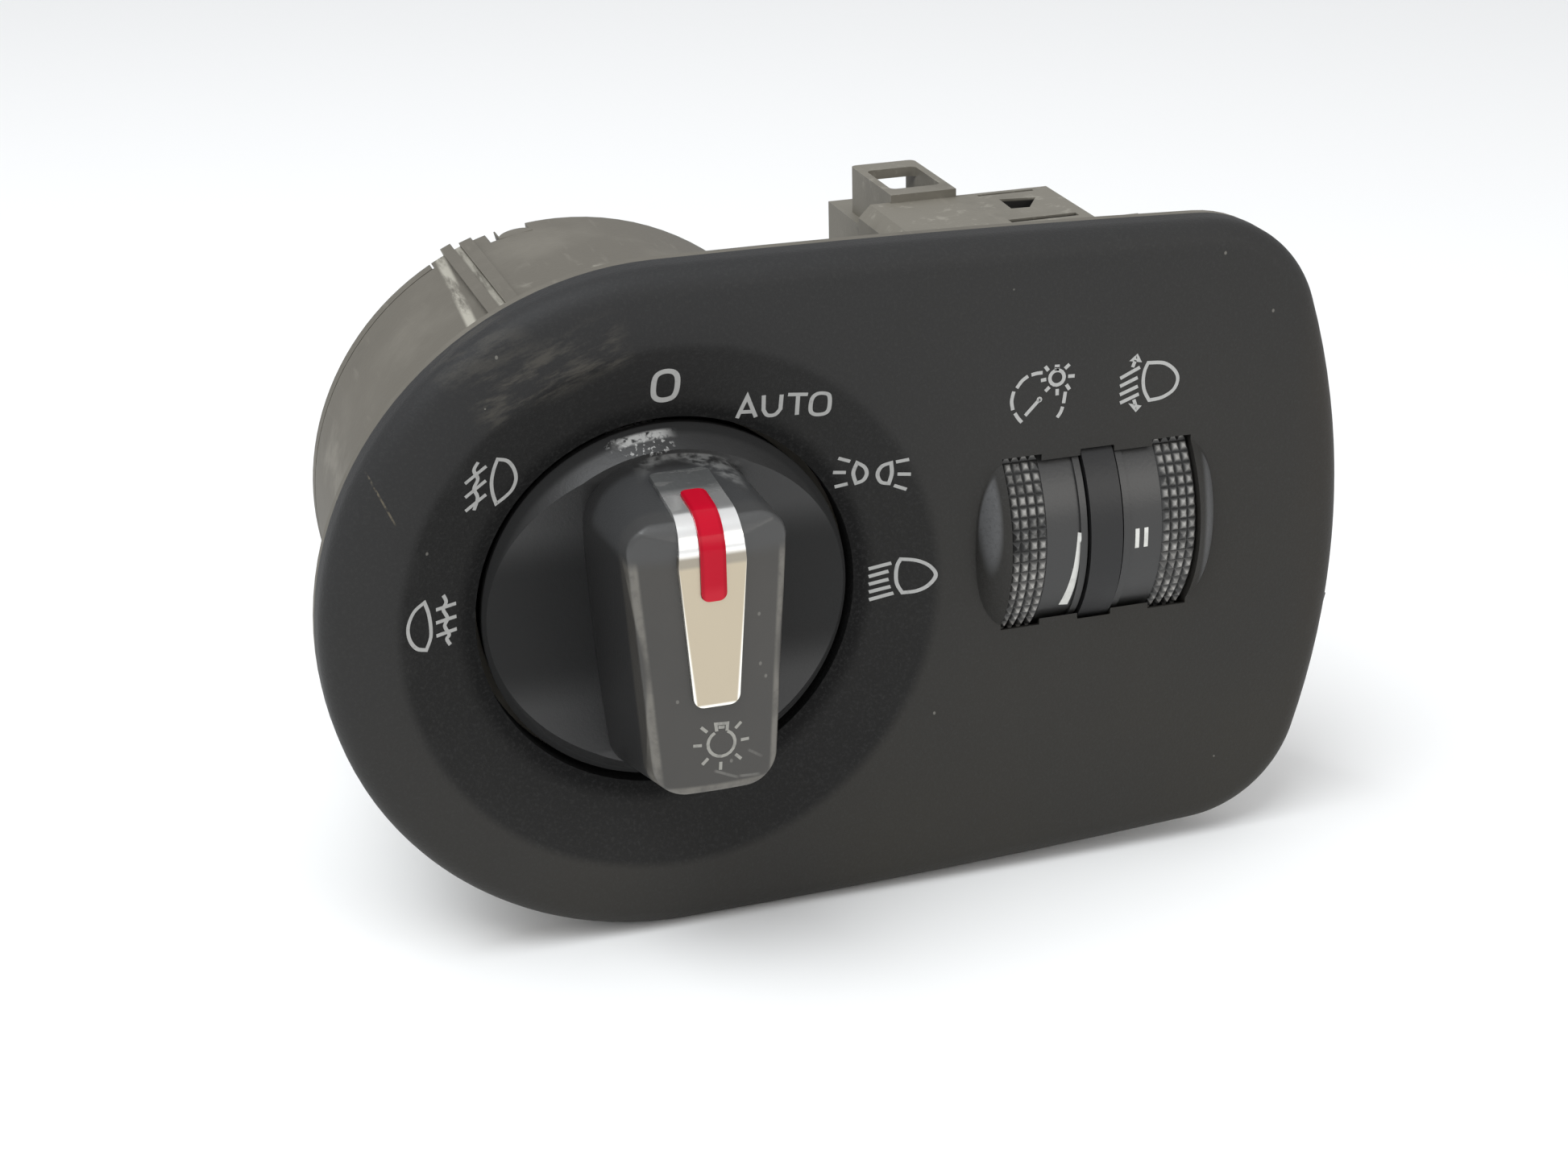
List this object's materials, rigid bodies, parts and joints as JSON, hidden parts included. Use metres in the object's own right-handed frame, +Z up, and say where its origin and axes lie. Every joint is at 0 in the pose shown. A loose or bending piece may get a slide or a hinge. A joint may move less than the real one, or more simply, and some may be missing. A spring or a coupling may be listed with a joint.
{
  "type": "headlight switch",
  "caption": "Dashboard headlight switch: rotary light knob with pull stages and knurled thumbwheels in one black fascia, with a round switch drum behind it.",
  "frame": {"origin": "on the knob's axis at the seat plane, the rear face of the carrier's flange", "axes": "+X to the thumbwheels, right as seen by the driver; +Z up; +Y along the knob's axis into the dashboard, so the fascia faces -Y"},
  "size_m": [0.1246, 0.0718, 0.079],
  "materials": {
    "fascia_black": "fine satin grain",
    "knob_black": "fine satin grain, worn paler along the handle's edges",
    "wheel_black": "satin",
    "housing_olive": "matt, glass filled",
    "inner_cream": "matt",
    "inner_dark": "matt",
    "silver_trim": "satin champagne with a bright rim",
    "red_lens": "gloss, translucent",
    "clear_plastic": "clear",
    "board_green": "solder mask",
    "contact_metal": "bright",
    "steel": "bright",
    "carbon_track": "printed track"
  },
  "bodies": {
    "switch": {"fascia": "fascia_black", "carrier": "housing_olive", "symbol_light_guide": "clear_plastic", "symbol_lamps": "clear_plastic", "drum_end_cap": "housing_olive", "switch_board": "board_green", "switch_tracks": "contact_metal", "terminal_pins": "contact_metal", "detent_ring": "inner_cream", "push_washer": "inner_dark", "catch_spring": "steel", "module_housing": "housing_olive", "wheel_axle": "steel", "wheel_divider": "wheel_black", "dimmer_track": "carbon_track", "levelling_track": "carbon_track", "levelling_spring": "steel", "module_board": "board_green", "module_pins": "contact_metal"},
    "rotor": {"rotor": "inner_cream", "rotor_wipers": "contact_metal", "detent_balls": "steel", "detent_springs": "steel"},
    "knob": {"knob_cap": "knob_black", "knob_trim": "silver_trim", "pointer_lens": "red_lens", "knob_shaft": "inner_cream", "pointer_light_rod": "clear_plastic", "knob_light_guide": "clear_plastic"},
    "fog_slider": {"fog_slider": "inner_cream", "fog_wiper": "contact_metal"},
    "lock_catch": {"lock_catch": "inner_dark"},
    "dimmer_wheel": {"dimmer_wheel": "wheel_black", "dimmer_wiper": "contact_metal"},
    "levelling_wheel": {"levelling_wheel": "wheel_black", "levelling_wiper": "contact_metal"}
  },
  "joints": [
    {"name": "knob_turn", "type": "hinge", "parent": "switch", "child": "rotor", "pos_m": [0, 0, 0], "axis": [0, 1, 0], "range_deg": [0, 90]},
    {"name": "knob_pull", "type": "slide", "parent": "rotor", "child": "knob", "axis": [0, -1, 0], "range_m": [-0.002, 0.006]},
    {"name": "fog_slide", "type": "slide", "parent": "switch", "child": "fog_slider", "axis": [0, -1, 0], "range_m": [-0.002, 0.006]},
    {"name": "catch_press", "type": "slide", "parent": "switch", "child": "lock_catch", "axis": [0, 0, 1], "range_m": [0, 0.0026], "stiffness_N_per_m": 500, "springref_m": -0.001, "deforming": ["catch_spring"]},
    {"name": "dimmer_turn", "type": "hinge", "parent": "switch", "child": "dimmer_wheel", "pos_m": [0.05035, 0.0059, 0.0027], "axis": [1, 0, 0], "range_deg": [-60, 60]},
    {"name": "levelling_turn", "type": "hinge", "parent": "switch", "child": "levelling_wheel", "pos_m": [0.05035, 0.0059, 0.0027], "axis": [1, 0, 0], "range_deg": [-60, 30]}
  ],
  "couplings": [
    {"joint": "fog_slide", "follows": "knob_pull", "ratio": 1}
  ]
}
